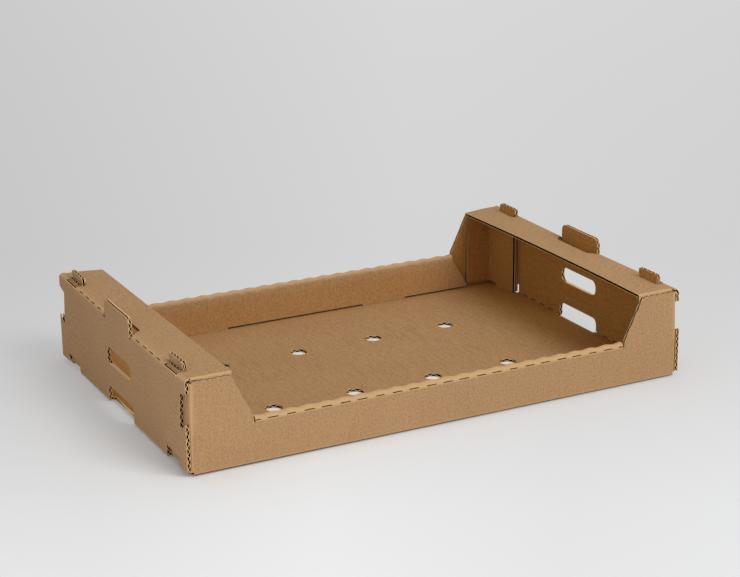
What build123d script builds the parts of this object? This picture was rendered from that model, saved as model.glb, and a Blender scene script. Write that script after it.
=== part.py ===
"""Stacking tray for fruit, folded from one die-cut sheet of corrugated cardboard.

The base carries two end walls with shelves on top and two low side walls whose top edge is rolled over.
Millimetres, +X along the length, +Z up, origin at the middle of the underside.
"""
import os

from build123d import *

os.makedirs("parts", exist_ok=True)

# The whole tray: a 600 by 400 footprint and two heights, at the shelves and at the rolled sides.
length = 600.0
width = 400.0
end_height = 105.0
side_height = 51.0

# The board and its folds. The outside radius of a fold is the board wrapped round the crease.
board = 4.0
crease = 1.0
fold = board + crease
layer_gap = 0.5
seat_gap = 0.5

# The section of the board: two flat facings and a wavy sheet between them, open at every cut edge.
facing = 0.4
medium = 0.3
flute_pitch = 7.9
flute_hollow = 6.9
flute_depth = 8.0
edge_groove = 3.0

# End walls: a hand hole in the middle and a cut in each upright edge that shows the corner behind it.
hand_hole_width = 75.0
hand_hole_height = 19.0
hand_hole_middle = 58.5
hand_hole_radius = 8.0
edge_cut_low = 51.5
edge_cut_high = 87.0
edge_cut_depth = 17.0
edge_cut_radius = 2.0

# The tall stacking tab stands up out of the end wall and leaves a window behind it in the shelf.
tall_tab_width = 78.0
tall_tab_rise = 17.0
tall_tab_radius = 8.0
window_fold_width = 88.0
window_inner_width = 66.0
window_depth = 15.0

# The slot under the end wall that takes the tall tab of the tray below.
stack_play = 1.5
stack_slot_height = 21.0
stack_slot_radius = 8.0
stack_slot_reach = 8.0

# Shelves: folded in from the end walls, each with a flap down at both ends.
shelf_depth = 52.0
shelf_flap_foot = 6.5

# Corner flaps: folded in from the side walls, behind the end walls. Inside each of them lies a second flap,
# folded from the shelf's flap, with a small tab up through the shelf.
corner_flap_width = 59.0
corner_flap_foot = 6.0
corner_lug_rise = 1.0
small_tab_width = 33.0
small_tab_rise = 10.0
small_tab_hook = 3.5
small_tab_radius = 3.0
small_slot_play = 3.0
small_slot_sill = 2.5
small_notch_play = 2.0
small_notch_height = 15.0
small_notch_reach = 10.0

# Side walls: tall corners that slope down to the rolled edge, and a liner panel inside.
side_corner_drop = 3.0
slope_run = 23.0
slope_top_drop = 3.0
slope_knee_run = 3.5
roll_width = 11.0
liner_clearance = 2.0
liner_foot = 5.5

# Two tabs on each liner panel lock into slots in the base.
lock_tab_width = 61.0
lock_tab_place_share = 0.206
lock_play = 0.7

# Round vents in the base, two rows of four.
vent_diameter = 20.0
vent_column_shares = [-1 / 4, -1 / 12, 1 / 12, 1 / 4]
vent_row_shares = [-3 / 16, 3 / 16]

# Planes that several panels share.
half_length = length / 2
half_width = width / 2
flap_outer = half_length - board - layer_gap
flap_inner = flap_outer - board
corner_start = flap_outer - fold
inner_flap_outer = flap_inner - seat_gap
inner_flap_face = inner_flap_outer - board
inner_flap_start = inner_flap_outer - fold
shelf_end = half_width - board - seat_gap
shelf_flap_face = shelf_end - board
under_shelf = end_height - board
corner_flap_edge = half_width - corner_flap_width
liner_outer = half_width - roll_width + board
liner_face = half_width - roll_width
side_corner_top = end_height - side_corner_drop
slope_top = half_length - shelf_depth + seat_gap
slope_top_height = side_corner_top - slope_top_drop
slope_foot = slope_top - slope_run
slope_knee = slope_top + slope_knee_run
liner_end = half_length - shelf_depth - liner_clearance
lock_tab_near = lock_tab_place_share * length - lock_tab_width / 2
lock_tab_far = lock_tab_near + lock_tab_width


def block(x, y, z):
    """Box between a low and a high bound on each axis."""
    bounds = (x, y, z)
    middle = [(low + high) / 2 for low, high in bounds]
    size = [high - low for low, high in bounds]
    return Pos(*middle) * Box(*size)


def end_panel(outline, x_low, x_high, rounded=(), radius=0.0):
    """Upright panel across the tray: an outline in Y and Z, with some corners rounded."""
    face = make_face(Polyline(*outline, close=True))
    if rounded:
        points = [Vector(*point) for point in rounded]
        corners = [v for v in face.vertices() if any((p - Vector(v)).length < crease for p in points)]
        face = fillet(corners, radius)
    return extrude(Plane.YZ.offset(x_low) * face, amount=x_high - x_low)


def side_panel(outline, y_low, y_high):
    """Upright panel along the tray: an outline in X and Z."""
    face = make_face(Polyline(*outline, close=True))
    return extrude(Plane.XZ.offset(-y_high) * face, amount=y_high - y_low)


def bend(plane, across, up, quadrant, reach):
    """Quarter-round fold of the board about a centre in the plane, drawn out evenly to both sides."""
    ring = Circle(fold) - Circle(crease)
    quarter = ring & Pos(fold / 2, fold / 2) * Rectangle(fold, fold)
    placed = Pos(across, up) * Rot(0, 0, 90 * quadrant) * quarter
    return extrude(plane * placed, amount=reach, both=True)


def flutes(start, across, along, count, reach):
    """Hollows of the wavy sheet, side by side along an edge, each with its apex on the other facing."""
    plane = Plane(origin=start, x_dir=across, z_dir=Vector(*across).cross(Vector(*along)))
    hollows = []
    for step in range(count):
        middle = step * flute_pitch / 2
        flat = facing if step % 2 == 0 else board - facing
        apex = board - facing - medium if step % 2 == 0 else facing + medium
        outline = [(flat, middle - flute_hollow / 2), (flat, middle + flute_hollow / 2), (apex, middle)]
        hollows.append(extrude(plane * make_face(Polyline(*outline, close=True)), amount=reach))
    return hollows


def flute_count(run):
    """How many hollows fit side by side in a run of board."""
    return int((run - flute_hollow) / (flute_pitch / 2)) + 1


def flute_start(low, high):
    """Middle of the first hollow when the hollows are centred between two ends of a run."""
    return (low + high - (flute_count(high - low) - 1) * flute_pitch / 2) / 2


def both_sides(shape):
    """The shape and its mirror image across the tray's long centre plane."""
    return shape + mirror(shape, about=Plane.XZ)


def both_ends(shape):
    """The shape and its mirror image across the tray's short centre plane."""
    return shape + mirror(shape, about=Plane.YZ)


# Base: a flat sheet with round vents.
base = block(
    (fold - half_length, half_length - fold), (fold - half_width, half_width - fold), (0, board)
)
vent_run = vent_diameter + flute_pitch / 2
vent_reach = vent_diameter + 2 * flute_depth
for vent_x in [share * length for share in vent_column_shares]:
    for vent_y in [share * width for share in vent_row_shares]:
        base -= Pos(vent_x, vent_y, board / 2) * Cylinder(vent_diameter / 2, 2 * board)
        vent_start = (flute_start(vent_x - vent_run / 2, vent_x + vent_run / 2), vent_y - vent_reach / 2, 0)
        base -= flutes(vent_start, (0, 0, 1), (1, 0, 0), flute_count(vent_run), vent_reach)

# End wall, its two folds and the shelf, over the whole width.
end_wall = block((-half_length, board - half_length), (-half_width, half_width), (fold, end_height - fold))
end_wall += bend(Plane.XZ, fold - half_length, fold, 2, half_width)
end_wall += bend(Plane.XZ, fold - half_length, end_height - fold, 1, half_width)
shelf_fold_line = shelf_end - fold
shelf = block(
    (fold - half_length, shelf_depth - half_length),
    (-shelf_fold_line, shelf_fold_line),
    (under_shelf, end_height),
)
shelf_corner = block(
    (fold - half_length, -inner_flap_start - crease), (shelf_fold_line, shelf_end), (under_shelf, end_height)
)
end = end_wall + shelf + both_sides(shelf_corner)

# The flutes of the end wall run across the tray and show at its upright edges.
end_flat = end_height - 2 * fold
end_flutes = (-half_length, half_width + board, flute_start(fold, end_height - fold))
end -= flutes(end_flutes, (1, 0, 0), (0, 0, 1), flute_count(end_flat), width + 2 * board)

# Hand hole and the cuts in the upright edges.
hand_hole = extrude(
    Plane.YZ.offset(-half_length - board)
    * Pos(0, hand_hole_middle)
    * RectangleRounded(hand_hole_width, hand_hole_height, hand_hole_radius),
    amount=3 * board,
)
end -= hand_hole
edge_cut_line = half_width - edge_cut_depth
edge_cut = end_panel(
    [
        (edge_cut_line, edge_cut_low),
        (half_width + board, edge_cut_low),
        (half_width + board, edge_cut_high),
        (edge_cut_line, edge_cut_high),
    ],
    -half_length - board,
    fold - half_length,
    [(edge_cut_line, edge_cut_low), (edge_cut_line, edge_cut_high)],
    edge_cut_radius,
)
end -= both_sides(edge_cut)

# Window in the shelf, then the tall tab that was folded up out of it.
window = make_face(
    Polyline(
        (-half_length - board, -window_fold_width / 2),
        (-half_length - board, window_fold_width / 2),
        (board - half_length, window_fold_width / 2),
        (window_depth - half_length, window_inner_width / 2),
        (window_depth - half_length, -window_inner_width / 2),
        (board - half_length, -window_fold_width / 2),
        close=True,
    )
)
end -= extrude(Plane.XY.offset(end_height - fold) * window, amount=2 * fold)
tall_tab_top = end_height + tall_tab_rise
tall_tab = end_panel(
    [
        (-tall_tab_width / 2, end_height - fold),
        (tall_tab_width / 2, end_height - fold),
        (tall_tab_width / 2, tall_tab_top),
        (-tall_tab_width / 2, tall_tab_top),
    ],
    -half_length,
    board - half_length,
    [(tall_tab_width / 2, tall_tab_top), (-tall_tab_width / 2, tall_tab_top)],
    tall_tab_radius,
)
tab_flutes = (-half_length, tall_tab_width / 2 + board, flute_start(end_height - fold, tall_tab_top))
tall_tab -= flutes(
    tab_flutes, (1, 0, 0), (0, 0, 1), flute_count(tall_tab_rise + fold), tall_tab_width + 2 * board
)
end += tall_tab

# Slots along the top fold for the small tabs. The end wall's cut edge is their outer sill, and it is hollow in
# its middle.
small_tab_near = corner_flap_edge
small_tab_far = corner_flap_edge + small_tab_width
small_slot_run = (small_tab_near - small_slot_play, small_tab_far + small_slot_play)
sill_height = end_height - fold + small_slot_sill
small_slot = block(
    (-half_length - board, board - half_length), small_slot_run, (sill_height, end_height + board)
)
small_slot += block(
    (board - half_length, seat_gap - inner_flap_face), small_slot_run, (end_height - fold, end_height + board)
)
small_slot += block(
    (crease + facing - half_length, board - facing - half_length),
    small_slot_run,
    (end_height - fold + facing, end_height),
)
end -= both_sides(small_slot)

# Shelf flaps: folded down at both ends of the shelf, inside the tall corners of the side walls.
shelf_flap_run = (-inner_flap_start, shelf_depth - half_length)
shelf_flap_mid = (shelf_flap_run[0] + shelf_flap_run[1]) / 2
shelf_flap_reach = (shelf_flap_run[1] - shelf_flap_run[0]) / 2
shelf_flap = block(shelf_flap_run, (-shelf_end, -shelf_flap_face), (shelf_flap_foot, end_height - fold))
shelf_flap += bend(
    Plane.YZ.offset(shelf_flap_mid), fold - shelf_end, end_height - fold, 1, shelf_flap_reach
)
end += both_sides(shelf_flap)

# Inner corner flap: a fold at the shelf flap's upright edge, then a panel inside the corner flap. Its small
# tab stands up through the slot and hooks over the shelf, and its tongue stands on the base behind the notch.
inner_flap_top = end_height - fold
small_tab_top = end_height + small_tab_rise
small_hook_edge = small_tab_near - small_tab_hook
small_hook_low = end_height + seat_gap
inner_flap = bend(
    Plane.XY.offset((inner_flap_top + shelf_flap_foot) / 2),
    -inner_flap_start,
    fold - shelf_end,
    2,
    (inner_flap_top - shelf_flap_foot) / 2,
)
inner_flap += end_panel(
    [
        (fold - shelf_end, shelf_flap_foot),
        (-small_tab_far, shelf_flap_foot),
        (-small_tab_far, board + seat_gap),
        (-small_tab_near, board + seat_gap),
        (-small_tab_near, small_hook_low),
        (-small_hook_edge, small_hook_low + small_tab_hook),
        (-small_hook_edge, small_tab_top),
        (-small_tab_far, small_tab_top),
        (-small_tab_far, inner_flap_top),
        (fold - shelf_end, inner_flap_top),
    ],
    -inner_flap_outer,
    -inner_flap_face,
    [(-small_hook_edge, small_tab_top), (-small_tab_far, small_tab_top)],
    small_tab_radius,
)
tab_top_start = (
    -inner_flap_outer, flute_start(-small_tab_far, -small_tab_near), small_tab_top - flute_depth
)
inner_flap -= flutes(tab_top_start, (1, 0, 0), (0, 1, 0), flute_count(small_tab_width), 2 * flute_depth)
inner_flap -= block(
    (facing - inner_flap_outer, -inner_flap_face - facing),
    (-small_tab_near - edge_groove, edge_groove - small_tab_near),
    (0, end_height),
)
end += both_sides(inner_flap)

# Along the flutes a cut edge shows the hollow between the facings: the shelf and its flaps.
end -= block(
    (shelf_depth - edge_groove - half_length, shelf_depth + edge_groove - half_length),
    (-shelf_fold_line, shelf_fold_line),
    (under_shelf + facing, end_height - facing),
)
flap_groove = block(
    (shelf_depth - edge_groove - half_length, shelf_depth + edge_groove - half_length),
    (facing - shelf_end, -shelf_flap_face - facing),
    (0, end_height - fold),
)
end -= both_sides(flap_groove)

# Base with both ends, cut through at the bottom folds for the tabs of the tray below.
tray = base + both_ends(end)
stack_slot_width = tall_tab_width + 2 * stack_play
stack_slot = end_panel(
    [
        (-stack_slot_width / 2, -board),
        (stack_slot_width / 2, -board),
        (stack_slot_width / 2, stack_slot_height),
        (-stack_slot_width / 2, stack_slot_height),
    ],
    -half_length - board,
    stack_slot_reach - half_length,
    [(-stack_slot_width / 2, stack_slot_height), (stack_slot_width / 2, stack_slot_height)],
    stack_slot_radius,
)
small_notch = block(
    (-half_length - board, small_notch_reach - half_length),
    (small_tab_near - small_notch_play, small_tab_far + small_notch_play),
    (-board, small_notch_height),
)
tray -= both_ends(stack_slot + both_sides(small_notch))

# Bottom folds of the side walls, with the slots that take the lock tabs.
side_bend = bend(Plane.YZ, fold - half_width, fold, 2, corner_start)
tray += both_sides(side_bend)
lock_slot = block(
    (lock_tab_near - lock_play, lock_tab_far + lock_play),
    (liner_face - lock_play, half_width - board),
    (-board, board + seat_gap),
)
tray -= both_ends(both_sides(lock_slot))

# Side wall: low in the middle, with slopes up to the tall corners.
side_half_outline = [
    (corner_start, fold),
    (corner_start, side_corner_top),
    (slope_knee, side_corner_top),
    (slope_top, slope_top_height),
    (slope_foot, side_height - fold),
]
side_outline = side_half_outline + [(-x, z) for x, z in reversed(side_half_outline)]
side = side_panel(side_outline, -half_width, board - half_width)

# The flutes of the side wall stand upright and show along the slopes and the tops of the corners.
slope_rise_share = (slope_top_height - side_height + fold) / slope_run
edge_flutes = flute_count(corner_start - slope_foot)
for step in range(edge_flutes):
    flute_x = flute_start(slope_foot, corner_start) + step * flute_pitch / 2
    slope_z = side_height - fold + slope_rise_share * (flute_x - slope_foot)
    flute_low = min(slope_z, side_corner_top) - flute_depth
    flute_face = -half_width if step % 2 == 0 else board - half_width
    flute_from = (flute_x, flute_face, flute_low)
    flute_across = (0, 1, 0) if step % 2 == 0 else (0, -1, 0)
    flute_along = (-1, 0, 0) if step % 2 == 0 else (1, 0, 0)
    for hollow in flutes(flute_from, flute_across, flute_along, 1, end_height - flute_low):
        side -= both_ends(hollow)

# Rolled top: two folds with a flat strip between them.
side += bend(Plane.YZ, fold - half_width, side_height - fold, 1, slope_foot)
side += bend(Plane.YZ, -liner_face - fold, side_height - fold, 0, slope_foot)
side += block(
    (-slope_foot, slope_foot), (fold - half_width, -liner_face - fold), (side_height - board, side_height)
)

# Liner panel inside the side wall, with its lock tabs.
liner_half_outline = [
    (0, liner_foot),
    (lock_tab_near, liner_foot),
    (lock_tab_near, seat_gap),
    (lock_tab_far, seat_gap),
    (lock_tab_far, liner_foot),
    (liner_end, liner_foot),
    (slope_foot, side_height - fold),
]
liner_outline = liner_half_outline + [(-x, z) for x, z in reversed(liner_half_outline[1:])]
side += side_panel(liner_outline, -liner_outer, -liner_face)

# Corner flap: a fold at the upright edge, then a panel behind the end wall. A low lug on its top fills the
# slot in the shelf's fold.
corner_flap_top = under_shelf - seat_gap
corner_lug_top = end_height + corner_lug_rise
corner_bend_height = corner_flap_top - corner_flap_foot
corner = bend(
    Plane.XY.offset((corner_flap_top + corner_flap_foot) / 2),
    -corner_start,
    fold - half_width,
    2,
    corner_bend_height / 2,
)
corner += end_panel(
    [
        (fold - half_width, corner_flap_foot),
        (-corner_flap_edge, corner_flap_foot),
        (-corner_flap_edge, corner_lug_top),
        (-small_tab_far, corner_lug_top),
        (-small_tab_far, corner_flap_top),
        (fold - half_width, corner_flap_top),
    ],
    -flap_outer,
    -flap_inner,
)
lug_top_start = (-flap_outer, flute_start(-small_tab_far, -small_tab_near), corner_lug_top - flute_depth)
corner -= flutes(lug_top_start, (1, 0, 0), (0, 1, 0), flute_count(small_tab_width), 2 * flute_depth)
side += both_ends(corner)

tray += both_sides(side)
export_step(tray.solid(), "parts/tray.step")
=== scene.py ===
import bpy
import numpy as np
from mathutils import Matrix


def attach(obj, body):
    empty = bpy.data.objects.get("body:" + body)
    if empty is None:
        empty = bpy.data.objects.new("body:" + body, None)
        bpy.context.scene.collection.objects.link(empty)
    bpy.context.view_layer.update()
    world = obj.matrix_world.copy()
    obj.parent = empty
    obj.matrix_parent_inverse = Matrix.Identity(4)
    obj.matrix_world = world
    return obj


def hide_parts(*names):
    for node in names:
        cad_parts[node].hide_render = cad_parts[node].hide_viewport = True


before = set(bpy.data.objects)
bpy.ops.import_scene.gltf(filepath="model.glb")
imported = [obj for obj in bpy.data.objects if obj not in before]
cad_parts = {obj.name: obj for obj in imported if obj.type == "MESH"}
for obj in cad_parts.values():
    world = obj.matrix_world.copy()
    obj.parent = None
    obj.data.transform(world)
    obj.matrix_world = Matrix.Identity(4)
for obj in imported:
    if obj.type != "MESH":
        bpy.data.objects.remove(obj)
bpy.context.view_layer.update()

# Outer facing: the kraft paper on the outside of the folded board, one run over underside, walls, shelves and
# rolled edges. It was glued to the wavy paper, then cut, creased and folded with it.
# Lengths are millimetres on the flat blank, and the mesh is scaled to metres at the end.
board = 4.0
facing = 0.42
pitch = 7.9
bend_radius = 3.0
bend_run = bend_radius * np.pi / 2
tight_radius = 0.5
tight_run = tight_radius * np.pi / 2
hair = 0.02

base_run = 295.0
wall_run = 95.0
shelf_run = 47.0
wall_start = base_run + bend_run
wall_stop = wall_start + wall_run
shelf_start = wall_stop + bend_run
shelf_stop = shelf_start + shelf_run

side_fold = 195.0
side_wall_run = 41.0
roll_flat = 1.0
liner_run = 39.1
lock_reach = 6.4
side_wall_stop = bend_run + side_wall_run
roll_stop = side_wall_stop + 2 * bend_run + roll_flat
liner_stop = roll_stop + liner_run

slope_foot = 226.5
roll_tip = 225.3
corner_fold = 293.2
corner_stop = corner_fold + tight_run + 55.6

shelf_flap_plane = 194.0
inner_flap_plane = 289.0
inner_flap_slant = 5.0
fold_reach = 292.5
shelf_flap_fold = shelf_flap_plane - tight_radius
flap_height = 103.0 - tight_radius
shelf_flap_run = inner_flap_plane - inner_flap_slant - tight_radius - base_run + shelf_run
inner_flap_stop = shelf_stop - shelf_flap_run - tight_run

vent_row = 75.0
vent_middles = (50.0, 150.0)
vent_radius = 10.0
lock_slot = (92.4, 154.8)
lock_slot_edge = 188.3
lock_tab = (93.1, 154.1)
liner_end = 248.0

hole_low = 49.0
hole_high = 68.0
hole_half = 37.5
hole_round = 8.0
foot_slot_start = 292.0
foot_slot_high = 21.0
foot_slot_half = 40.5
tab_half = 39.0
tab_high = 122.0
edge_notch_low = 49.0
edge_tip_high = 57.3

small_tab_middle = 157.5
small_notch = (139.0, 176.0)
small_notch_start = 292.5
small_notch_high = 15.0
small_slot = (139.8, 174.7)
small_slot_stop = 286.5
sill_high = 103.0
flap_foot = 4.3


def on_wall(height):
    """Station of a height on the end wall: the run of the base and its fold, then the height above it."""
    return wall_start + height - bend_radius - board / 2


def on_shelf(x):
    """Station of a place on the shelf: the run up to the top fold, then the way back towards the middle."""
    return shelf_start + base_run - x


def on_corner(y):
    """Station of a place on the corner flap: the run along the side wall and its fold, then inwards."""
    return corner_fold + tight_run + side_fold + bend_radius - tight_radius - y


def on_inner(y):
    """Station of a place on the inner corner flap: back from the shelf flap's upright fold."""
    return inner_flap_stop - shelf_flap_fold + y


def down(height):
    """Offset of a height on the shelf's flap and the inner corner flap: the fold's run, then the drop."""
    return tight_run + flap_height - height


def rounded(start, stop, along_first):
    """Points of a quarter ellipse between two points, leaving along the station or along the offset."""
    angle = np.linspace(0, np.pi / 2, 7)
    slow = 1 - np.cos(angle)
    quick = np.sin(angle)
    by_station, by_offset = (quick, slow) if along_first else (slow, quick)
    station = start[0] + (stop[0] - start[0]) * by_station
    offset = start[1] + (stop[1] - start[1]) * by_offset
    return list(zip(station, offset))


def vents(side):
    """Line across the base at the row of vents, bowed out by half a circle at each vent."""
    angle = np.linspace(0, np.pi, 19)
    points = [(0.0, vent_row)]
    for middle in vent_middles:
        bow = vent_row + side * vent_radius * np.sin(angle)
        points += list(zip(middle - vent_radius * np.cos(angle), bow))
    return points + [(shelf_stop, vent_row)]


def slots(level, notch, slot):
    """Line along the small stacking tabs: it steps aside at the bottom notch and at the top fold's slot."""
    return [
        (0.0, level), (small_notch_start, level), (small_notch_start + hair, notch),
        (on_wall(small_notch_high), notch), (on_wall(small_notch_high) + hair, level),
        (wall_stop - hair, level), (wall_stop, slot),
        (on_shelf(small_slot_stop), slot), (on_shelf(small_slot_stop) + hair, level), (shelf_stop, level),
    ]


hole_inner_half = hole_half - hole_round
foot_slot_corner = (on_wall(foot_slot_high - hole_round), foot_slot_half)
foot_slot_top = (on_wall(foot_slot_high), foot_slot_half - hole_round)
centre_line = [
    (0.0, 0.0), (foot_slot_start, 0.0), (foot_slot_start + hair, foot_slot_half),
    *rounded(foot_slot_corner, foot_slot_top, True), (on_wall(foot_slot_high) + hair, 0.0),
    (on_wall(hole_low) - hair, 0.0),
    *rounded((on_wall(hole_low), hole_inner_half), (on_wall(hole_low + hole_round), hole_half), False),
    *rounded((on_wall(hole_high - hole_round), hole_half), (on_wall(hole_high), hole_inner_half), True),
    (on_wall(hole_high) + hair, 0.0),
    (wall_stop - hair, 0.0), (wall_stop, 44.0), (shelf_start - 1.0, 44.0),
    (on_shelf(285.0), 33.0), (on_shelf(285.0) + hair, 0.0), (shelf_stop, 0.0),
]
edge_line = [
    (0.0, side_fold), (lock_slot[0], side_fold), (lock_slot[0] + hair, lock_slot_edge),
    (lock_slot[1], lock_slot_edge), (lock_slot[1] + hair, side_fold),
    (base_run, side_fold), (base_run + hair, 200.0), (on_wall(edge_notch_low) - hair, 200.0),
    *rounded((on_wall(edge_notch_low), 186.0), (on_wall(51.5), 184.0), False),
    *rounded((on_wall(84.5), 184.0), (on_wall(86.5), 186.0), True), (on_wall(90.0), 199.5),
    (wall_stop, 199.5), (on_shelf(fold_reach), 195.2), (on_shelf(fold_reach) + hair, shelf_flap_fold),
    (shelf_stop - shelf_flap_run, shelf_flap_fold), (shelf_stop, shelf_flap_fold),
]
edge_tip_ends = (on_wall(edge_notch_low), on_wall(edge_tip_high))
edge_tip = [list(zip(edge_tip_ends, (186.0, 199.3))), list(zip(edge_tip_ends, (200.0, 200.0)))]
vent_lines = [vents(-1), vents(1)]
slot_lines = [slots(small_tab_middle, notch, slot) for notch, slot in zip(small_notch, small_slot)]
end_bands = [(centre_line, vent_lines[0]), (vent_lines[1], slot_lines[0]), (slot_lines[1], edge_line)]

tab_corner = (on_wall(tab_high - hole_round), tab_half)
tab_stop = on_wall(tab_high)
tab_top = [(wall_stop, tab_half), *rounded(tab_corner, (tab_stop, tab_half - hole_round), True)]
tab_middle = [(wall_stop, 0.0), (tab_stop, 0.0)]
sill_ends = (wall_stop, on_wall(sill_high))
sill = [[(station, edge) for station in sill_ends] for edge in small_slot]

corner_low = [
    (slope_foot, 46.0), (corner_fold - hair, 46.0), (corner_fold, flap_foot), (corner_stop, flap_foot),
]
corner_high = [
    (slope_foot, 46.3), (slope_foot + 0.8, 54.0), (250.0, 101.0), (251.5, 102.0),
    (corner_fold - hair, 102.0), (corner_fold, 100.5),
    (on_corner(174.0) - hair, 100.5), (on_corner(174.0), 106.0), (corner_stop, 106.0),
]

inner_low = [
    (on_inner(137.0), down(109.5)), (on_inner(140.5) - hair, down(106.0)),
    (on_inner(140.5), down(flap_foot)), (on_inner(177.0), down(flap_foot)),
    (on_inner(177.0) + hair, down(8.5)), (shelf_stop, down(10.0)),
]
inner_high = [
    *rounded((on_inner(137.0), down(112.5)), (on_inner(139.5), down(115.0)), False),
    *rounded((on_inner(171.0), down(115.0)), (on_inner(174.0), down(112.0)), True),
    (on_inner(174.0) + hair, down(100.0)), (inner_flap_stop + tight_run - hair, down(100.0)),
    (inner_flap_stop + tight_run, tight_run), (shelf_stop, tight_run),
]

side_low = [
    (0.0, 0.0), (lock_slot[0], 0.0), (lock_slot[0] + hair, 1.0),
    (lock_slot[1], 1.0), (lock_slot[1] + hair, 0.0), (corner_fold, 0.0),
]
lock_tip = liner_stop + lock_reach
liner_low = [
    (0.0, liner_stop), (lock_tab[0], liner_stop), (lock_tab[0] + hair, lock_tip),
    (lock_tab[1], lock_tip), (lock_tab[1] + hair, liner_stop), (liner_end, liner_stop),
]


def stations(low, high, step, lines):
    """Stations across the flutes: even steps, both ends and every point of the given lines."""
    points = [station for line in lines for station, offset in line if low <= station <= high]
    even = np.arange(low, high, step)
    return np.unique(np.round(np.concatenate([even, points, [low, high]]), 3))


def band(across, near, far, rows):
    """Grid between two lines of the blank: at each station the rows lie evenly from near to far."""
    start = np.interp(across, *np.array(near).T)
    stop = np.interp(across, *np.array(far).T)
    share = np.linspace(0, 1, rows + 1)
    along = start[:, None] + (stop - start)[:, None] * share
    return np.broadcast_to(across[:, None], along.shape), along


def folded(distance, runs, start, turn_run=bend_run):
    """Middle of the board: straight runs joined by quarter bends, as the running sum of a turning step."""
    fine = np.linspace(0, distance.max() + 1, 8000)
    turn = np.zeros_like(fine)
    reached = 0.0
    for run in runs[:-1]:
        turn = turn + np.clip((fine - reached - run) / turn_run, 0, 1) * np.pi / 2
        reached += run + turn_run
    middle = (turn[1:] + turn[:-1]) / 2
    first = start[0] + np.concatenate([[0], np.cumsum(np.cos(middle)) * fine[1]])
    second = start[1] + np.concatenate([[0], np.cumsum(np.sin(middle)) * fine[1]])
    return [np.interp(distance, fine, line) for line in (first, second, turn)]


def end_place(across, along, offset):
    """Base, end wall and shelf: the path turns up and back over the tray, and runs straight in Y."""
    x, z, turn = folded(across, [base_run, wall_run, shelf_run], (0.0, board / 2))
    return np.stack([x - offset * np.sin(turn), along, z + offset * np.cos(turn)], axis=-1)


def tab_place(across, along, offset):
    """Tall stacking tab: the end wall carried straight on upwards past the top fold."""
    x = base_run + bend_radius - offset
    return np.stack([x, along, across - on_wall(0.0)], axis=-1)


def side_place(across, along, offset):
    """Side wall, rolled top and liner: the path turns up, over and down again, and runs straight in X."""
    y, z, turn = folded(along, [0.0, side_wall_run, roll_flat, liner_run], (side_fold, board / 2))
    return np.stack([across, y - offset * np.sin(turn), z + offset * np.cos(turn)], axis=-1)


def crushed(distance, offset):
    """Offset in a tight fold: on its inner side the board is crushed to a tenth, within the fold's radius."""
    inside = np.abs(distance - tight_run / 2) < tight_run / 2 - hair
    crush = tight_radius / 2 + 0.1 * (offset - tight_radius / 2)
    return np.where(inside, np.minimum(offset, crush), offset)


def corner_place(across, along, offset):
    """Tall corner and corner flap: the path turns inwards round a tight upright fold."""
    start = (0.0, -side_fold - bend_radius)
    x, inward, turn = folded(across, [corner_fold, 54.0], start, tight_run)
    offset = crushed(across - corner_fold, offset)
    return np.stack([x - offset * np.sin(turn), -inward - offset * np.cos(turn), along], axis=-1)


def shelf_fold_place(across, along, offset):
    """Fold at the shelf's end: the path turns down inside the tall corner, and runs straight in X."""
    y, drop, turn = folded(along, [0.0, 1.0], (shelf_flap_fold, board / 2 - 105.0), tight_run)
    offset = crushed(along, offset)
    x = base_run + shelf_start - across
    return np.stack([x, y - offset * np.sin(turn), -drop - offset * np.cos(turn)], axis=-1)


def inner_place(across, along, offset):
    """Shelf flap and inner corner flap: the path runs outwards, then turns round a tight upright fold.

    The inner flap slants outwards to its free edge, less at its top, and its tab leans outwards in its slot.
    """
    start = (base_run - shelf_run, -shelf_flap_plane)
    x, inward, turn = folded(shelf_stop - across, [shelf_flap_run, 54.0], start, tight_run)
    offset = crushed(shelf_stop - shelf_flap_run - across, offset)
    height = flap_height + tight_run - along
    share = np.clip((inner_flap_stop - across) / 50.0, 0, 1)
    top = np.clip((height - 85.0) / 20.0, 0, 1)
    slant = inner_flap_slant * (share * (1 - top) + (1 - (1 - share) ** 6) * top)
    lean = 0.1 * np.maximum(height - 101.0, 0) * np.sin(turn)
    x = x + slant + lean - offset * np.sin(turn)
    return np.stack([x, -inward - offset * np.cos(turn), height], axis=-1)


def patch(place, across, along, middle, half, crease=None, cut=None, start=0.0):
    """One panel of a paper, with its level in the board, half thickness, painted fold highlight, cuts and
    blank start.
    """
    across = across + np.zeros_like(along)
    centre = [(line[1:, 1:] + line[:-1, :-1]) / 2 for line in (across, along)]
    level = middle(across, along)
    return {
        "key": place(across, along, np.zeros_like(along)),
        "top": place(across, along, level + half),
        "under": place(across, along, level - half),
        "map": np.stack([across, along + start], axis=-1),
        "crease": np.zeros_like(along) if crease is None else crease(across, along),
        "keep": np.ones(centre[0].shape, bool) if cut is None else ~cut(*centre),
    }


def sharpened(points):
    """Bottom folds drawn out to a sharp edge: the fold's round section becomes a curve of the sixth power."""
    points = points.copy()
    radius = bend_radius + board / 2
    for axis, fold in ((0, base_run), (1, side_fold)):
        out = np.clip((np.abs(points[:, axis]) - fold) / radius, 0, None)
        low = np.clip((radius - points[:, 2]) / radius, 0, None)
        corner = (out > 0) & (low > 0)
        ratio = np.hypot(out, low) / np.maximum(out ** 6 + low ** 6, 1e-9) ** (1 / 6)
        reach = np.sign(points[:, axis]) * (fold + radius * out * ratio)
        points[:, axis] = np.where(corner, reach, points[:, axis])
        points[:, 2] = np.where(corner, radius * (1 - low * ratio), points[:, 2])
    return points


corner_spring = 1.4
shelf_bow = 2.2
shelf_lift = 3.0
rim_gap = 1.2


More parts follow.
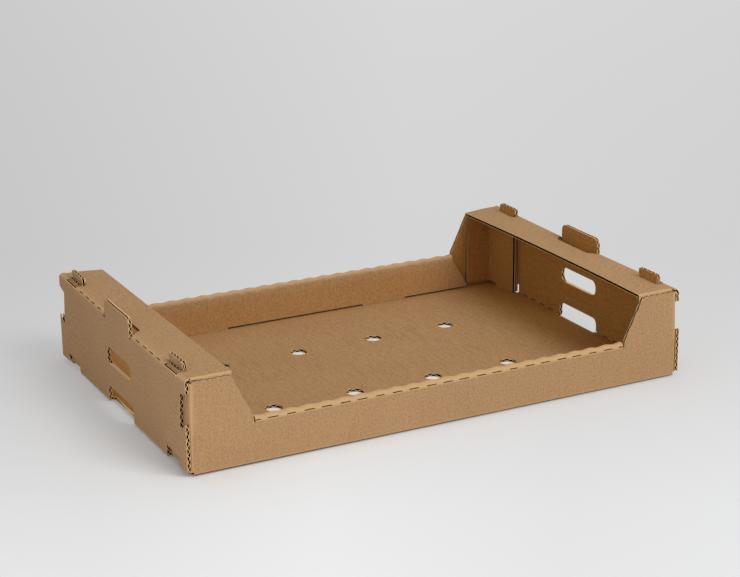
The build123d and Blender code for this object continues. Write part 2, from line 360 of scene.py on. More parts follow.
def settle(points):
    """Set of the folded tray: small moves that grow smoothly towards its ends and corners.

    The outer layers spring outwards at the low corners, one shelf bows up, both shelves rise towards the
    back, and the bottom folds stand a little clear of the ground round the base.
    """
    x, y, z = np.moveaxis(points, -1, 0)
    shares = [
        np.clip((np.abs(x) - 235.0) / 50.0, 0, 1), np.clip((np.abs(y) - 120.0) / 70.0, 0, 1),
        np.clip((90.0 - z) / 40.0, 0, 1),
    ]
    eased = [share * share * (3 - 2 * share) for share in shares]
    outer = (np.abs(x) > 291.5) | (np.abs(y) > 195.95)
    spring = corner_spring * np.sign(x) * eased[0] * eased[1] * eased[2] * outer
    shelf = np.clip((base_run - x) / shelf_run, 0, 1) * (x > 247.0) * (z > 100.5)
    bow = shelf_bow * shelf * np.clip(1 - (y / 194.0) ** 2, 0, 1)
    lift = shelf_lift * eased[0] * np.clip(y / 200.0, 0, 1) * np.clip((z - 55.0) / 45.0, 0, 1)
    rim = np.clip(np.maximum((np.abs(x) - 250.0) / 42.0, (np.abs(y) - 150.0) / 42.0), 0, 1)
    gap = rim_gap * rim * rim * np.clip((10.0 - z) / 8.0, 0, 1)
    return points + np.stack([spring, 0 * y, bow + lift + gap], axis=-1)


def opened(across, along):
    """Where a flute lies open along a cut edge and takes in light, so its painted shade is weaker: tall tabs
    and slots of the small ones.
    """
    beyond_fold = (across > wall_stop) & (across < tab_stop)
    return beyond_fold & ((along < tab_half) | (along > small_slot[0]) & (along < small_slot[1]))


def painted_fold_shadow(across, along):
    """Painted shadow: a dark line under the bottom folds, whole along the sides, in dashes along the ends."""
    half = 0.1 * bend_run
    side = (np.abs(along - side_fold - bend_run / 2) < half) & (across < base_run)
    end = (np.abs(across - bottom_fold) < half) & (along < side_fold) & dashed(along)
    return side | end


# Share of the hollows' painted shade that is kept where a flute lies open.
open_flute_shade = 0.4
# Darkness of the painted shadow under the bottom folds.
fold_shadow_dark = 0.85
join_grid = 0.002
metre = 0.001


def paper(name, patches, hollow_shade_shares, tint_and_shade=None):
    """Closed thin sheet: the patches of a quarter tray, mirrored to all corners and joined where they meet.

    Both faces share one grid, and every edge that only one face uses gets a wall between the two faces.
    The hollow shares say how much of the upper and of the under face gets the painted shade of the flute
    hollows, and the tint share where on the blank the paper is tinted warmer and darker: a warm tint on the
    liners, painted shade under the shelves and on the walls' inner faces.
    """
    keys, tops, unders, maps, creases, quads = [], [], [], [], [], []
    count = 0
    for sign in ((1, 1), (-1, 1), (1, -1), (-1, -1)):
        flip = np.array([sign[0], sign[1], 1])
        for part in patches:
            rows, columns = part["crease"].shape
            index = count + np.arange(rows * columns).reshape(rows, columns)
            corners = [index[:-1, :-1], index[1:, :-1], index[1:, 1:], index[:-1, 1:]]
            quad = np.stack(corners, axis=-1)[part["keep"]]
            quads.append(quad if sign[0] * sign[1] > 0 else quad[:, ::-1])
            keys.append(part["key"].reshape(-1, 3) * flip)
            tops.append(part["top"].reshape(-1, 3) * flip)
            unders.append(part["under"].reshape(-1, 3) * flip)
            maps.append(part["map"].reshape(-1, 2) * flip[:2])
            creases.append(part["crease"].ravel())
            count += rows * columns
    key = np.round(np.concatenate(keys) / join_grid).astype(np.int64)
    first, inverse = np.unique(key, axis=0, return_index=True, return_inverse=True)[1:]
    quad = inverse.ravel()[np.concatenate(quads)]
    used = np.unique(quad)
    renumber = np.zeros(len(first), np.int64)
    renumber[used] = np.arange(len(used))
    quad = renumber[quad]
    chosen = first[used]
    total = len(chosen)
    edge = np.concatenate([quad[:, [side, (side + 1) % 4]] for side in range(4)])
    lone = ~np.isin(edge[:, 0] * total + edge[:, 1], edge[:, 1] * total + edge[:, 0])
    start, stop = edge[lone].T
    wall = np.stack([stop, start, start + total, stop + total], axis=-1)
    folded_points = np.concatenate([np.concatenate(tops)[chosen], np.concatenate(unders)[chosen]])
    points = settle(sharpened(folded_points)) * metre
    faces = np.concatenate([quad, quad[:, ::-1] + total, wall])
    mesh = bpy.data.meshes.new(name)
    mesh.from_pydata(points.tolist(), [], faces.tolist())
    places = np.concatenate(maps)[chosen]
    blank = np.tile(places, (2, 1)) * metre
    mesh.uv_layers.new(name="blank").data.foreach_set("uv", blank[faces.ravel()].ravel())
    # Painted highlight on the folds, kept per point.
    mark = np.tile(np.concatenate(creases)[chosen], 2)
    mesh.attributes.new("crease", "FLOAT", "POINT").data.foreach_set("value", mark)
    # Share of the warm tint: a warm tint on the liners, painted shade under the shelves.
    warm = np.zeros(total) if tint_and_shade is None else tint_and_shade(*np.abs(places).T).astype(float)
    mesh.attributes.new("tint_and_shade", "FLOAT", "POINT").data.foreach_set("value", np.tile(warm, 2))
    middle = np.abs(places)[quad].mean(axis=1)
    # Painted shade of the flute hollows on faces inside the board, weaker where a flute lies open.
    dim = np.where(opened(*middle.T), open_flute_shade, 1.0)
    edge_marks = np.repeat([0.0, 1.0], [2 * len(quad), len(wall)])
    # Painted shadow under the bottom folds, in the same mark as the hollows' painted shade.
    fold_shadow = fold_shadow_dark * painted_fold_shadow(*middle.T)
    top_marks = np.maximum(hollow_shade_shares[0] * dim, fold_shadow)
    under_marks = np.maximum(hollow_shade_shares[1] * dim, fold_shadow)
    side_marks = np.concatenate([top_marks, under_marks, np.zeros(len(wall))])
    for mark_name, marks in (("cut_edge", edge_marks), ("painted_shade_mark", side_marks)):
        mesh.attributes.new(mark_name, "FLOAT", "FACE").data.foreach_set("value", marks)
    mesh.polygons.foreach_set("use_smooth", np.ones(len(faces), bool))
    mesh.set_sharp_from_angle(angle=0.6)
    piece = bpy.data.objects.new(name, mesh)
    bpy.context.collection.objects.link(piece)
    return piece


dash_pitch = 20.5
dash_cut = 11.4
top_fold = wall_stop + bend_run / 2
bottom_fold = base_run + bend_run / 2
roll_dash = side_wall_stop + 0.3 * bend_run
roll_middle = side_wall_stop + bend_run + roll_flat / 2
dash_width = 0.3
inner_dash_width = 1.3
dash_end = 136.0
swell_height = 1.4
swell_reach = 3.8


def dashed(along):
    """Where the fold is cut through: a dash of fixed length at an even pitch."""
    return np.abs((along / dash_pitch + 0.5) % 1.0 - 0.5) * dash_pitch < dash_cut / 2


def corner_cut(across, along):
    """The bottom fold is cut away from the small notch to the corner, where the wall ends in the air."""
    return (np.abs(across - bottom_fold) < bend_run / 2) & (along > small_notch[1])


def end_slits(across, along):
    """Cut dashes in the middle of the end wall's bottom and top folds, and the cut at the corner."""
    near = np.minimum(np.abs(across - top_fold), np.abs(across - bottom_fold)) < dash_width
    return near & dashed(along) & (along < dash_end) | corner_cut(across, along)


def inner_slits(across, along):
    """The same dashes where they open on the inside of the bottom fold, and the cut at the corner."""
    near = np.abs(across - bottom_fold) < inner_dash_width
    return near & dashed(along) & (along < dash_end) | corner_cut(across, along)


def roll_slits(across, along):
    """Cut dashes in the middle of the rolled edge's outer fold."""
    return (np.abs(along - roll_dash) < dash_width) & dashed(across)


def ridge(distance, reach):
    """Bell curve that is one at a fold and dies away past its reach."""
    return np.exp(-(distance / reach) ** 2)


def roll_swell(across, along):
    """Outward swell of the rolled edge's top, highest where the fold is cut and the board springs."""
    wave = 0.5 + 0.5 * np.cos(2 * np.pi * across / dash_pitch)
    return -swell_height * wave * ridge(along - roll_middle, swell_reach)


def end_crease(across, along):
    """Painted highlight: a pale line on the end wall's folds."""
    return np.maximum(ridge(across - top_fold, 1.6), ridge(across - bottom_fold, 1.6))


def side_crease(across, along):
    """Painted highlight: a pale line on the bottom fold and a pale band over the rolled top of a side wall.
    """
    rise = np.clip((along - side_wall_stop - 0.2) / 0.8, 0, 1)
    fall = np.clip((roll_stop - 1.6 - along) / 2.0, 0, 1)
    return np.maximum(0.6 * ridge(along - bend_run / 2, 1.6), rise * fall)


def corner_crease(across, along):
    """Painted highlight: a pale line on the upright fold of a corner."""
    return ridge(across - corner_fold - tight_run / 2, 1.8)


def shelf_flap_crease(across, along):
    """Painted highlight: a pale line on the fold at the shelf's end."""
    return ridge(along - tight_run / 2, 0.9)


side_rows = np.concatenate([
    np.linspace(0, bend_run, 6),
    bend_run + side_wall_run * np.array([0.25, 0.5, 0.75]),
    side_wall_stop + bend_run * np.array([0.0, 0.12, 0.24, 0.36, 0.55, 0.75, 0.9, 1.0]),
    np.linspace(roll_stop - bend_run, roll_stop, 7),
    roll_stop + liner_run * np.array([0.25, 0.5, 0.75, 1.0]),
])
side_top_row = int(np.argmin(np.abs(side_rows - side_wall_stop)))
roll_row = int(np.argmin(np.abs(side_rows - roll_stop)))


def side_grids(step):
    """Grids of a side wall: the middle length, the wall by the slopes, the roll's point and the liner end."""
    roll_ends = [(roll_tip, 0.0), (slope_foot, 0.0)]
    across = stations(0.0, corner_fold, step, [side_low, liner_low, roll_ends])
    low = np.interp(across, *np.array(side_low).T)
    foot = np.interp(across, *np.array(liner_low).T)
    whole = np.repeat(side_rows[None, :], len(across), axis=0)
    whole[:, 0] = low
    whole[:, -1] = foot
    middle = across <= roll_tip
    beyond = across >= roll_tip
    tip = beyond & (across <= slope_foot - 0.2)
    narrow = (slope_foot - across[tip])[:, None] / (slope_foot - roll_tip)
    roll = side_wall_stop + (side_rows[side_top_row:roll_row + 1] - side_wall_stop) * narrow
    end = beyond & (across <= liner_end - 0.5)
    drop = (across[end] - roll_tip)[:, None] / (liner_end - roll_tip)
    liner = liner_stop - (liner_stop - side_rows[roll_row:]) * (1 - drop)
    pairs = [
        (across[middle], whole[middle]), (across[beyond], whole[beyond][:, :side_top_row + 1]),
        (across[tip], roll), (across[end], liner),
    ]
    return [(station[:, None] + 0 * rows, rows) for station, rows in pairs]


def flap_grids(low, step, rows):
    """Grids of the fold at the shelf's end, on the shelf's stations, and of the flaps that hang from it."""
    flap_start = shelf_stop - shelf_flap_run
    across = stations(low, shelf_stop, step, end_bands[2])
    folding = across[across > on_shelf(fold_reach) + hair / 2]
    shared = across[across > flap_start - hair]
    fold = np.linspace(0, tight_run, 7)
    turning = np.linspace(inner_flap_stop, flap_start, 7)
    panel = stations(inner_high[0][0], inner_flap_stop, step, [inner_low, inner_high])
    hanging = np.unique(np.round(np.concatenate([panel, turning, shared]), 3))
    fold_grid = (folding[:, None] + 0 * fold, fold + 0 * folding[:, None])
    return fold_grid, band(hanging, inner_high, inner_low, rows)


frayed_half = 0.45


def facing_patches(level, slits):
    """Patches of one facing on a quarter of the tray, at a level from the board's middle."""
    def flat(across, along):
        return level + 0 * along

    def swollen(across, along):
        return level + roll_swell(across, along)

    def frayed(across, along):
        return np.sign(level) * (board / 2 - frayed_half) + 0 * along

    half = facing / 2
    end_cut = end_slits if slits else inner_slits
    roll_cut = roll_slits if slits else None
    patches = []
    zones = [
        (0.0, base_run, 6.0, 3), (base_run, wall_start, 0.3, 40), (wall_start, wall_stop, 6.0, 4),
        (wall_stop, shelf_start, 0.3, 40), (shelf_start, shelf_stop, 6.0, 4),
    ]
    for low, high, step, rows in zones:
        for near, far in end_bands:
            grid = band(stations(low, high, step, [near, far]), near, far, rows)
            patches.append(patch(end_place, *grid, flat, half, end_crease, end_cut))
    tip = band(stations(*edge_tip_ends, 2.0, edge_tip), *edge_tip, 2)
    patches.append(patch(end_place, *tip, flat, half))
    tab = band(stations(wall_stop, tab_stop, 4.0, [tab_top]), tab_middle, tab_top, 4)
    patches.append(patch(tab_place, *tab, flat, half))
    grid = band(stations(*sill_ends, 1.0, []), *sill, 4)
    patches.append(patch(tab_place, *grid, frayed, frayed_half))
    for grid in side_grids(pitch / 4):
        patches.append(patch(side_place, *grid, swollen, half, side_crease, roll_cut, side_fold))
    corner_across = stations(slope_foot, corner_stop, pitch / 4, [corner_low, corner_high])
    grid = band(corner_across, corner_low, corner_high, 6)
    patches.append(patch(corner_place, *grid, flat, half, corner_crease, None, side_fold))
    fold, hanging = flap_grids(shelf_start, 6.0, 6)
    patches.append(patch(shelf_fold_place, *fold, flat, half, shelf_flap_crease, None, shelf_flap_fold))
    patches.append(patch(inner_place, *hanging, flat, half, None, None, shelf_flap_fold))
    return patches


liner_share = 0.57


def rolled_in(across, along):
    """Share on the blank's liner panels, which turn the outer paper to the tray's inside."""
    beyond = along - side_fold - roll_stop
    liner = (along > side_fold + roll_stop) & (across < slope_foot + 0.45 * beyond)
    return liner_share * liner


outer_facing = paper("outer_facing", facing_patches(facing / 2 - board / 2, True), (1.0, 0.0), rolled_in)


def link(tree, start, stop):
    """Joins an output socket to an input socket of the same tree."""
    tree.links.new(start, stop)


def math_node(tree, operation, first, second=None):
    """Math node on two values, each a socket or a number; returns its output."""
    node = tree.nodes.new("ShaderNodeMath")
    node.operation = operation
    for socket, value in zip(node.inputs, (first, second)):
        if isinstance(value, bpy.types.NodeSocket):
            link(tree, value, socket)
        elif value is not None:
            socket.default_value = value
    return node.outputs[0]


def noise_node(tree, vector, scale, detail, roughness=0.5):
    """Noise texture on a vector; returns its value output."""
    node = tree.nodes.new("ShaderNodeTexNoise")
    node.inputs["Scale"].default_value = scale
    node.inputs["Detail"].default_value = detail
    node.inputs["Roughness"].default_value = roughness
    link(tree, vector, node.inputs["Vector"])
    return node.outputs["Fac"]


def spread_node(tree, value, low, high, start, stop):
    """Map Range node: a value from low to high becomes one from start to stop; returns its output."""
    node = tree.nodes.new("ShaderNodeMapRange")
    node.inputs["From Min"].default_value = low
    node.inputs["From Max"].default_value = high
    node.inputs["To Min"].default_value = start
    node.inputs["To Max"].default_value = stop
    link(tree, value, node.inputs["Value"])
    return node.outputs["Result"]


def mix_node(tree, share, first, second, blend="MIX"):
    """Colour mix by a share; colours and share are sockets or values; returns its colour output."""
    node = tree.nodes.new("ShaderNodeMix")
    node.data_type = "RGBA"
    node.blend_type = blend
    for socket, value in ((node.inputs[0], share), (node.inputs[6], first), (node.inputs[7], second)):
        if isinstance(value, bpy.types.NodeSocket):
            link(tree, value, socket)
        else:
            socket.default_value = value
    return node.outputs[2]


def mark_node(tree, name):
    """Attribute node on one of the mesh's marks; returns its value output."""
    node = tree.nodes.new("ShaderNodeAttribute")
    node.attribute_name = name
    return node.outputs["Fac"]


def kraft_paper():
    """Node group of kraft paper: streaks along the flutes, fibres, dark flecks, soft clouds, and washboard as
    a bump and as painted shade in the colour.
    """
    tree = bpy.data.node_groups.new("kraft_paper", "ShaderNodeTree")
    for name in ("Tan", "Brown"):
        tree.interface.new_socket(name, in_out="INPUT", socket_type="NodeSocketColor")
    for name in ("Washboard", "Streaks"):
        tree.interface.new_socket(name, in_out="INPUT", socket_type="NodeSocketFloat")
    tree.interface.new_socket("Color", in_out="OUTPUT", socket_type="NodeSocketColor")
    for name in ("Height", "Roughness"):
        tree.interface.new_socket(name, in_out="OUTPUT", socket_type="NodeSocketFloat")
    inside = tree.nodes.new("NodeGroupInput")
    outside = tree.nodes.new("NodeGroupOutput")
    place = tree.nodes.new("ShaderNodeTexCoord").outputs["Object"]
    blank = tree.nodes.new("ShaderNodeUVMap")
    blank.uv_map = "blank"
    stretch = tree.nodes.new("ShaderNodeVectorMath")
    stretch.operation = "MULTIPLY"
    stretch.inputs[1].default_value = (620.0, 22.0, 1.0)
    link(tree, blank.outputs["UV"], stretch.inputs[0])
    split = tree.nodes.new("ShaderNodeSeparateXYZ")
    link(tree, blank.outputs["UV"], split.inputs[0])
    streaks = noise_node(tree, stretch.outputs[0], 1.0, 2.0)
    fibres = noise_node(tree, place, 430.0, 4.0, 0.7)
    clouds = noise_node(tree, place, 11.0, 3.0)
    specks = noise_node(tree, place, 310.0, 1.0)
    flecks = spread_node(tree, specks, 0.66, 0.76, 0.0, 0.35)
    turn = math_node(tree, "MULTIPLY", split.outputs["X"], 2 * np.pi * 1000 / pitch)
    wave = math_node(tree, "MULTIPLY", math_node(tree, "COSINE", turn), inside.outputs["Washboard"])
    lines = spread_node(tree, streaks, 0.3, 0.7, -0.5, 0.5)
    lines = math_node(tree, "MULTIPLY", lines, inside.outputs["Streaks"])
    shade = math_node(tree, "ADD", math_node(tree, "ADD", lines, 0.31), flecks)
    shade = math_node(tree, "ADD", shade, spread_node(tree, fibres, 0.3, 0.7, -0.75, 0.75))
    shade = math_node(tree, "ADD", shade, spread_node(tree, clouds, 0.3, 0.7, -0.1, 0.1))
    # Painted shade of the washboard: the colour follows the same wave along the flutes as the bump.
    shade = math_node(tree, "ADD", shade, math_node(tree, "MULTIPLY", wave, 0.1))
    shade = math_node(tree, "MAXIMUM", shade, 0.0)
    color = mix_node(tree, shade, inside.outputs["Tan"], inside.outputs["Brown"])
    link(tree, color, outside.inputs["Color"])
    height = math_node(tree, "MULTIPLY", fibres, 0.12)
    height = math_node(tree, "ADD", height, math_node(tree, "MULTIPLY", wave, 0.5))
    height = math_node(tree, "ADD", height, math_node(tree, "MULTIPLY", streaks, 0.12))
    link(tree, height, outside.inputs["Height"])
    link(tree, spread_node(tree, fibres, 0.2, 0.8, 0.62, 0.82), outside.inputs["Roughness"])
    return tree


kraft = kraft_paper()
# Tint multiplied in where marked: a warm tint on the liners, and painted shade under the shelves and on the
# walls' inner faces.
shade_tint_colour = (1.03, 0.85, 0.48, 1)
edge_tan = (0.85, 0.56, 0.28, 1)
# Painted shade of the flute hollows, near black, also used for the painted shadow under the bottom folds.
hollow_shade_colour = (0.02, 0.006, 0.001, 1)


def kraft_material(name, tan, brown, washboard, streaks, crease_tan):
    """Matte kraft paper: a warm tint where marked, painted shade under the shelves, a painted highlight on
    folds, paler cut edges, and painted shade in the flute hollows and under the bottom folds.
    """
    material = bpy.data.materials.new(name)
    material.use_nodes = True
    tree = material.node_tree
    shader = tree.nodes["Principled BSDF"]
    group = tree.nodes.new("ShaderNodeGroup")
    group.node_tree = kraft
    group.inputs["Tan"].default_value = tan
    group.inputs["Brown"].default_value = brown
    group.inputs["Washboard"].default_value = washboard
    group.inputs["Streaks"].default_value = streaks
    tint_and_shade = mark_node(tree, "tint_and_shade")
    crease = mark_node(tree, "crease")
    edge = mark_node(tree, "cut_edge")
    side = mark_node(tree, "painted_shade_mark")
    # Warm tint by its mark: a warm tint on the liners, painted shade under the shelves and inside the walls.
    color = mix_node(tree, tint_and_shade, group.outputs["Color"], shade_tint_colour, "MULTIPLY")
    # Painted highlight: the folds are mixed towards a paler tan.
    color = mix_node(tree, math_node(tree, "MULTIPLY", crease, 0.75), color, crease_tan)
    color = mix_node(tree, math_node(tree, "MULTIPLY", edge, 0.9), color, edge_tan)
    # Painted shade: faces inside the board and the line under the bottom folds go near black.
    color = mix_node(tree, side, color, hollow_shade_colour)
    shader.inputs["Specular IOR Level"].default_value = 0.08
    link(tree, color, shader.inputs["Base Color"])
    link(tree, group.outputs["Roughness"], shader.inputs["Roughness"])
    bump = tree.nodes.new("ShaderNodeBump")
    bump.inputs["Strength"].default_value = 0.5
    bump.inputs["Distance"].default_value = 0.0003
    link(tree, group.outputs["Height"], bump.inputs["Height"])
    link(tree, bump.outputs["Normal"], shader.inputs["Normal"])
    return material


outer_facing.data.materials.append(
    kraft_material(
        "kraft_outside", (0.445, 0.267, 0.133, 1), (0.31, 0.175, 0.081, 1), 0.25, 0.2, (0.55, 0.345, 0.17, 1)
    )
)
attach(outer_facing, "root")
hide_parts("tray")

# Inner facing: the kraft paper on the inside of the same board. It shows as the tray's floor and as the
# inside of the end walls and corners. It is the same paper; where walls and shelves shade it, a warmer,
# darker tint is painted shade.
def painted_shelter_shade(across, along):
    """Share of painted shade: whole on the panels that stand up from the base, and growing over the base
    towards its ends under the shelves.
    """
    return np.maximum(np.clip((across - 205.0) / 60.0, 0, 1), along > side_fold)


inner_facing = paper("inner_facing", facing_patches(board / 2 - facing / 2, False), (0.0, 1.0), painted_shelter_shade)
inner_facing.data.materials.append(
    kraft_material(
        "kraft_inside", (0.43, 0.248, 0.114, 1), (0.3, 0.162, 0.066, 1), 0.35, 0.6, (0.48, 0.29, 0.14, 1)
    )
)
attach(inner_facing, "root")
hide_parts("tray")

# Wavy paper: the sheet between the facings, pressed into flutes between hot toothed rolls and glued to both
# along its crests. It shows only at cut edges, as a zigzag between dark hollows, which are partly painted
# shade: its faces and the facings' faces towards it are coloured near black.
medium = 0.7
flute_height = board / 2 - facing - medium / 2
flute_damping = 0.93
fold_gap = 0.7
crush_reach = 1.6


def flute(across, along):
    """Level of the wavy paper: straight flanks and round crests, the angle whose sine is a damped cosine."""
    wave = np.arcsin(flute_damping * np.cos(2 * np.pi * across / pitch))
    return flute_height * wave / np.arcsin(flute_damping) + 0 * along


def side_flute(across, along):
    """The flutes of a side wall, carried over the swell of its rolled edge."""
    return flute(across, along) + roll_swell(across, along)


def end_gap(across, along):
    """The wavy paper is cut away in the middle of the top fold, where the dashes open, and at the corner."""
    return (np.abs(across - top_fold) < fold_gap) | corner_cut(across, along)


def crushed_edge(across, along):
    """Where the cutting die closed the board: a narrow strip under the hand hole and at the base's end."""
    hole = (across > on_wall(hole_low - crush_reach)) & (across < on_wall(hole_low))
    base_end = (across > foot_slot_start - crush_reach) & (across < foot_slot_start + hair / 2)
    return (hole | base_end) & (along < 38.0)


def end_flute(across, along):
    """The flutes of the base, end wall and shelf, pressed flat at the crushed edges."""
    return flute(across, along) * ~crushed_edge(across, along)


def tab_flute(across, along):
    """The flutes of a tall tab, moved so that a hollow opens along its top edge."""
    return flute(across + pitch / 4, along)


def inner_flute(across, along):
    """The flutes of the inner corner flap, drawn aside so that a hollow opens along its free edge."""
    return flute(across + 2.3 * np.clip((inner_flap_stop - across) / 20.0, 0, 1), along)


def roll_gap(across, along):
    """The wavy paper is cut away in the middle of the roll's outer fold, where the dashes open."""
    return np.abs(along - roll_dash) < fold_gap


def flute_patches(step):
    """Patches of the wavy paper on a quarter of the tray, with a few stations to each flute."""
    half = medium / 2
    fold_steps = (-bend_run / 2, -0.8, 0.8, bend_run / 2)
    folds = [(fold + reach, 0.0) for fold in (bottom_fold, top_fold) for reach in fold_steps]
    patches = []
    for near, far in end_bands:
        across = stations(0.0, shelf_stop, step, [near, far, folds])
        grid = band(across, near, far, 2)
        filled = half + crushed_edge(*grid) * (board / 2 - facing - half)
        patches.append(patch(end_place, *grid, end_flute, filled, None, end_gap))
    tip = band(stations(*edge_tip_ends, step, edge_tip), *edge_tip, 2)
    patches.append(patch(end_place, *tip, flute, half))
    tab = band(stations(wall_stop, tab_stop, step, [tab_top]), tab_middle, tab_top, 2)
    patches.append(patch(tab_place, *tab, tab_flute, half))
    for grid in side_grids(step):
        patches.append(patch(side_place, *grid, side_flute, half, None, roll_gap))
    across = stations(slope_foot, corner_stop, step, [corner_low, corner_high])
    patches.append(patch(corner_place, *band(across, corner_low, corner_high, 3), flute, half))
    fold, hanging = flap_grids(0.0, step, 3)
    patches.append(patch(shelf_fold_place, *fold, flute, half))
    patches.append(patch(inner_place, *hanging, inner_flute, half))
    return patches


wavy_paper = paper("wavy_paper", flute_patches(pitch / 8), (1.0, 1.0))
wavy_paper.data.materials.append(
    kraft_material(
        "kraft_wavy", (0.4, 0.24, 0.12, 1), (0.28, 0.155, 0.07, 1), 0.0, 0.0, (0.4, 0.24, 0.12, 1)
    )
)
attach(wavy_paper, "root")
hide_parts("tray")

# Floor: a wide disc of pale grey studio paper that fades into the surround, so that no edge of it shows.
# Its tone shifts softly from left to right and from front to back as painted shade: the lit floor is darker
# to the left and the right, and its far part, which glows for the camera as the backdrop, is darker to the
# left, a little to the right and towards the tray.
backdrop_grey = 0.688
round_angle = np.linspace(0, 2 * np.pi, 65)[:-1]
ring = np.array([0.5, 1.0, 2.0, 4.0, 8.0, 16.0])[:, None]
disc = np.stack([ring * np.cos(round_angle), ring * np.sin(round_angle), 0 * ring * round_angle], axis=-1)
disc_index = np.arange(ring.size * round_angle.size).reshape(ring.size, round_angle.size)
disc_next = np.roll(disc_index, -1, axis=1)
disc_corners = [disc_index[:-1], disc_index[1:], disc_next[1:], disc_next[:-1]]
disc_quads = np.stack(disc_corners, axis=-1).reshape(-1, 4)
floor_mesh = bpy.data.meshes.new("floor")
floor_mesh.from_pydata(disc.reshape(-1, 3).tolist(), [], [disc_index[0].tolist()] + disc_quads.tolist())
floor = bpy.data.objects.new("floor", floor_mesh)
bpy.context.collection.objects.link(floor)
floor_material = bpy.data.materials.new("floor_paper")
floor_material.use_nodes = True
floor_tree = floor_material.node_tree
floor_shader = floor_tree.nodes["Principled BSDF"]
floor_shader.inputs["Roughness"].default_value = 0.9
floor_shader.inputs["Specular IOR Level"].default_value = 0.1
floor_place = floor_tree.nodes.new("ShaderNodeTexCoord").outputs["Object"]


def floor_way(heading):
    """Distance over the floor along a heading, from the tray's middle."""
    node = floor_tree.nodes.new("ShaderNodeVectorMath")
    node.operation = "DOT_PRODUCT"
    node.inputs[1].default_value = heading
    link(floor_tree, floor_place, node.inputs[0])
    return node.outputs["Value"]


floor_depth = floor_way((0.451, 0.892, 0.0))
floor_reach = math_node(floor_tree, "MAXIMUM", math_node(floor_tree, "ADD", floor_depth, 2.03), 0.6)
floor_side = math_node(floor_tree, "DIVIDE", floor_way((0.892, -0.451, 0.0)), floor_reach)
floor_radius = floor_tree.nodes.new("ShaderNodeVectorMath")
floor_radius.operation = "LENGTH"
link(floor_tree, floor_place, floor_radius.inputs[0])
# Painted shade on the lit floor: darker to the left and to the right.
floor_paler = spread_node(floor_tree, floor_side, -0.16, -0.03, 0.94, 1.0)
floor_darker = spread_node(floor_tree, floor_side, -0.02, 0.12, 0.8, 0.735)
floor_tone = math_node(floor_tree, "MULTIPLY", floor_paler, floor_darker)
link(floor_tree, floor_tone, floor_shader.inputs["Base Color"])
floor_behind = spread_node(floor_tree, floor_depth, -0.4, 0.5, 0.0, 1.0)
floor_away = spread_node(floor_tree, floor_radius.outputs["Value"], 1.0, 2.2, 0.0, 1.0)
floor_fade = math_node(floor_tree, "MAXIMUM", floor_behind, floor_away)
floor_seen = floor_tree.nodes.new("ShaderNodeLightPath").outputs["Is Camera Ray"]
floor_far = floor_tree.nodes.new("ShaderNodeEmission")
# Painted shade on the glowing backdrop part: darker to the left, a little to the right and towards the tray.
floor_left = spread_node(floor_tree, floor_side, -0.2, 0.02, 0.87, 1.0)
floor_right = spread_node(floor_tree, floor_side, 0.05, 0.2, 1.0, 0.97)
floor_dip = spread_node(floor_tree, floor_depth, 0.3, 3.0, 0.955 * backdrop_grey, backdrop_grey)
floor_sides = math_node(floor_tree, "MULTIPLY", floor_left, floor_right)
floor_grey = math_node(floor_tree, "MULTIPLY", floor_sides, floor_dip)
link(floor_tree, floor_grey, floor_far.inputs["Strength"])
floor_mix = floor_tree.nodes.new("ShaderNodeMixShader")
link(floor_tree, math_node(floor_tree, "MULTIPLY", floor_fade, floor_seen), floor_mix.inputs[0])
link(floor_tree, floor_shader.outputs[0], floor_mix.inputs[1])
link(floor_tree, floor_far.outputs[0], floor_mix.inputs[2])
link(floor_tree, floor_mix.outputs[0], floor_tree.nodes["Material Output"].inputs["Surface"])
floor.data.materials.append(floor_material)

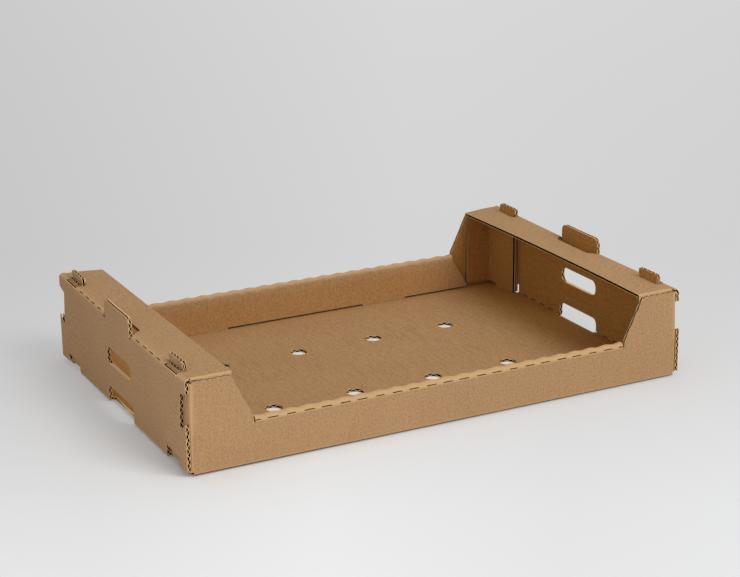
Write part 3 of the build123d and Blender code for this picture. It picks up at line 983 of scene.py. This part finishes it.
# Light: an even pale surround, a large soft box in front, above and to the right, and weak ones overhead
# and to the left.
world = bpy.data.worlds.new("studio")
world.use_nodes = True
world_tree = world.node_tree
surround = world_tree.nodes["Background"]
surround.inputs["Color"].default_value = (0.98, 0.99, 1.0, 1)
surround.inputs["Strength"].default_value = 0.45
backdrop = world_tree.nodes.new("ShaderNodeBackground")
backdrop.inputs["Color"].default_value = (backdrop_grey, backdrop_grey, backdrop_grey, 1)
world_mix = world_tree.nodes.new("ShaderNodeMixShader")
link(world_tree, world_tree.nodes.new("ShaderNodeLightPath").outputs["Is Camera Ray"], world_mix.inputs[0])
link(world_tree, surround.outputs[0], world_mix.inputs[1])
link(world_tree, backdrop.outputs[0], world_mix.inputs[2])
link(world_tree, world_mix.outputs[0], world_tree.nodes["World Output"].inputs["Surface"])
bpy.context.scene.world = world


def soft_box(name, place, target, size, power):
    """Square area lamp at a place, turned to face a target."""
    lamp = bpy.data.lights.new(name, "AREA")
    lamp.shape = "SQUARE"
    lamp.size = size
    lamp.energy = power
    holder = bpy.data.objects.new(name, lamp)
    holder.location = place
    aim = np.array(target) - np.array(place)
    tilt = np.arctan2(np.hypot(aim[0], aim[1]), -aim[2])
    holder.rotation_euler = (tilt, 0.0, np.arctan2(-aim[0], aim[1]))
    bpy.context.collection.objects.link(holder)


soft_box("key", (0.9, -2.15, 2.2), (0.0, 0.0, 0.05), 1.8, 58.5)
soft_box("top", (0.0, 0.0, 2.8), (0.0, 0.0, 0.0), 2.2, 13.0)
soft_box("side", (-1.15, -0.7, 0.3), (-0.3, -0.1, 0.05), 0.5, 2.4)

# Camera: at the photograph's place and angle, with its slight roll. Its lens is given by the focal length in
# pixels of a picture of the same width.
azimuth, elevation, roll = np.radians([-26.82, 18.02, -0.86])
back = np.array([
    np.sin(azimuth) * np.cos(elevation), -np.cos(azimuth) * np.cos(elevation), np.sin(elevation)
])
right = np.cross([0.0, 0.0, 1.0], back)
right = right / np.linalg.norm(right)
up = np.cross(back, right)
turned_right = np.cos(roll) * right + np.sin(roll) * up
turned_up = np.cos(roll) * up - np.sin(roll) * right
sensor_width = 36.0
picture_width = 740
focal_pixels = 1845.8
lens = bpy.data.cameras.new("camera")
lens.sensor_fit = "HORIZONTAL"
lens.sensor_width = sensor_width
lens.lens = focal_pixels / picture_width * sensor_width
camera = bpy.data.objects.new("camera", lens)
pose = np.eye(4)
pose[:3, :3] = np.stack([turned_right, turned_up, back], axis=-1)
pose[:3, 3] = (-0.9078, -1.8127, 0.7561)
camera.matrix_world = Matrix(pose.tolist())
bpy.context.collection.objects.link(camera)
bpy.context.scene.camera = camera
bpy.context.scene.view_settings.view_transform = "Standard"
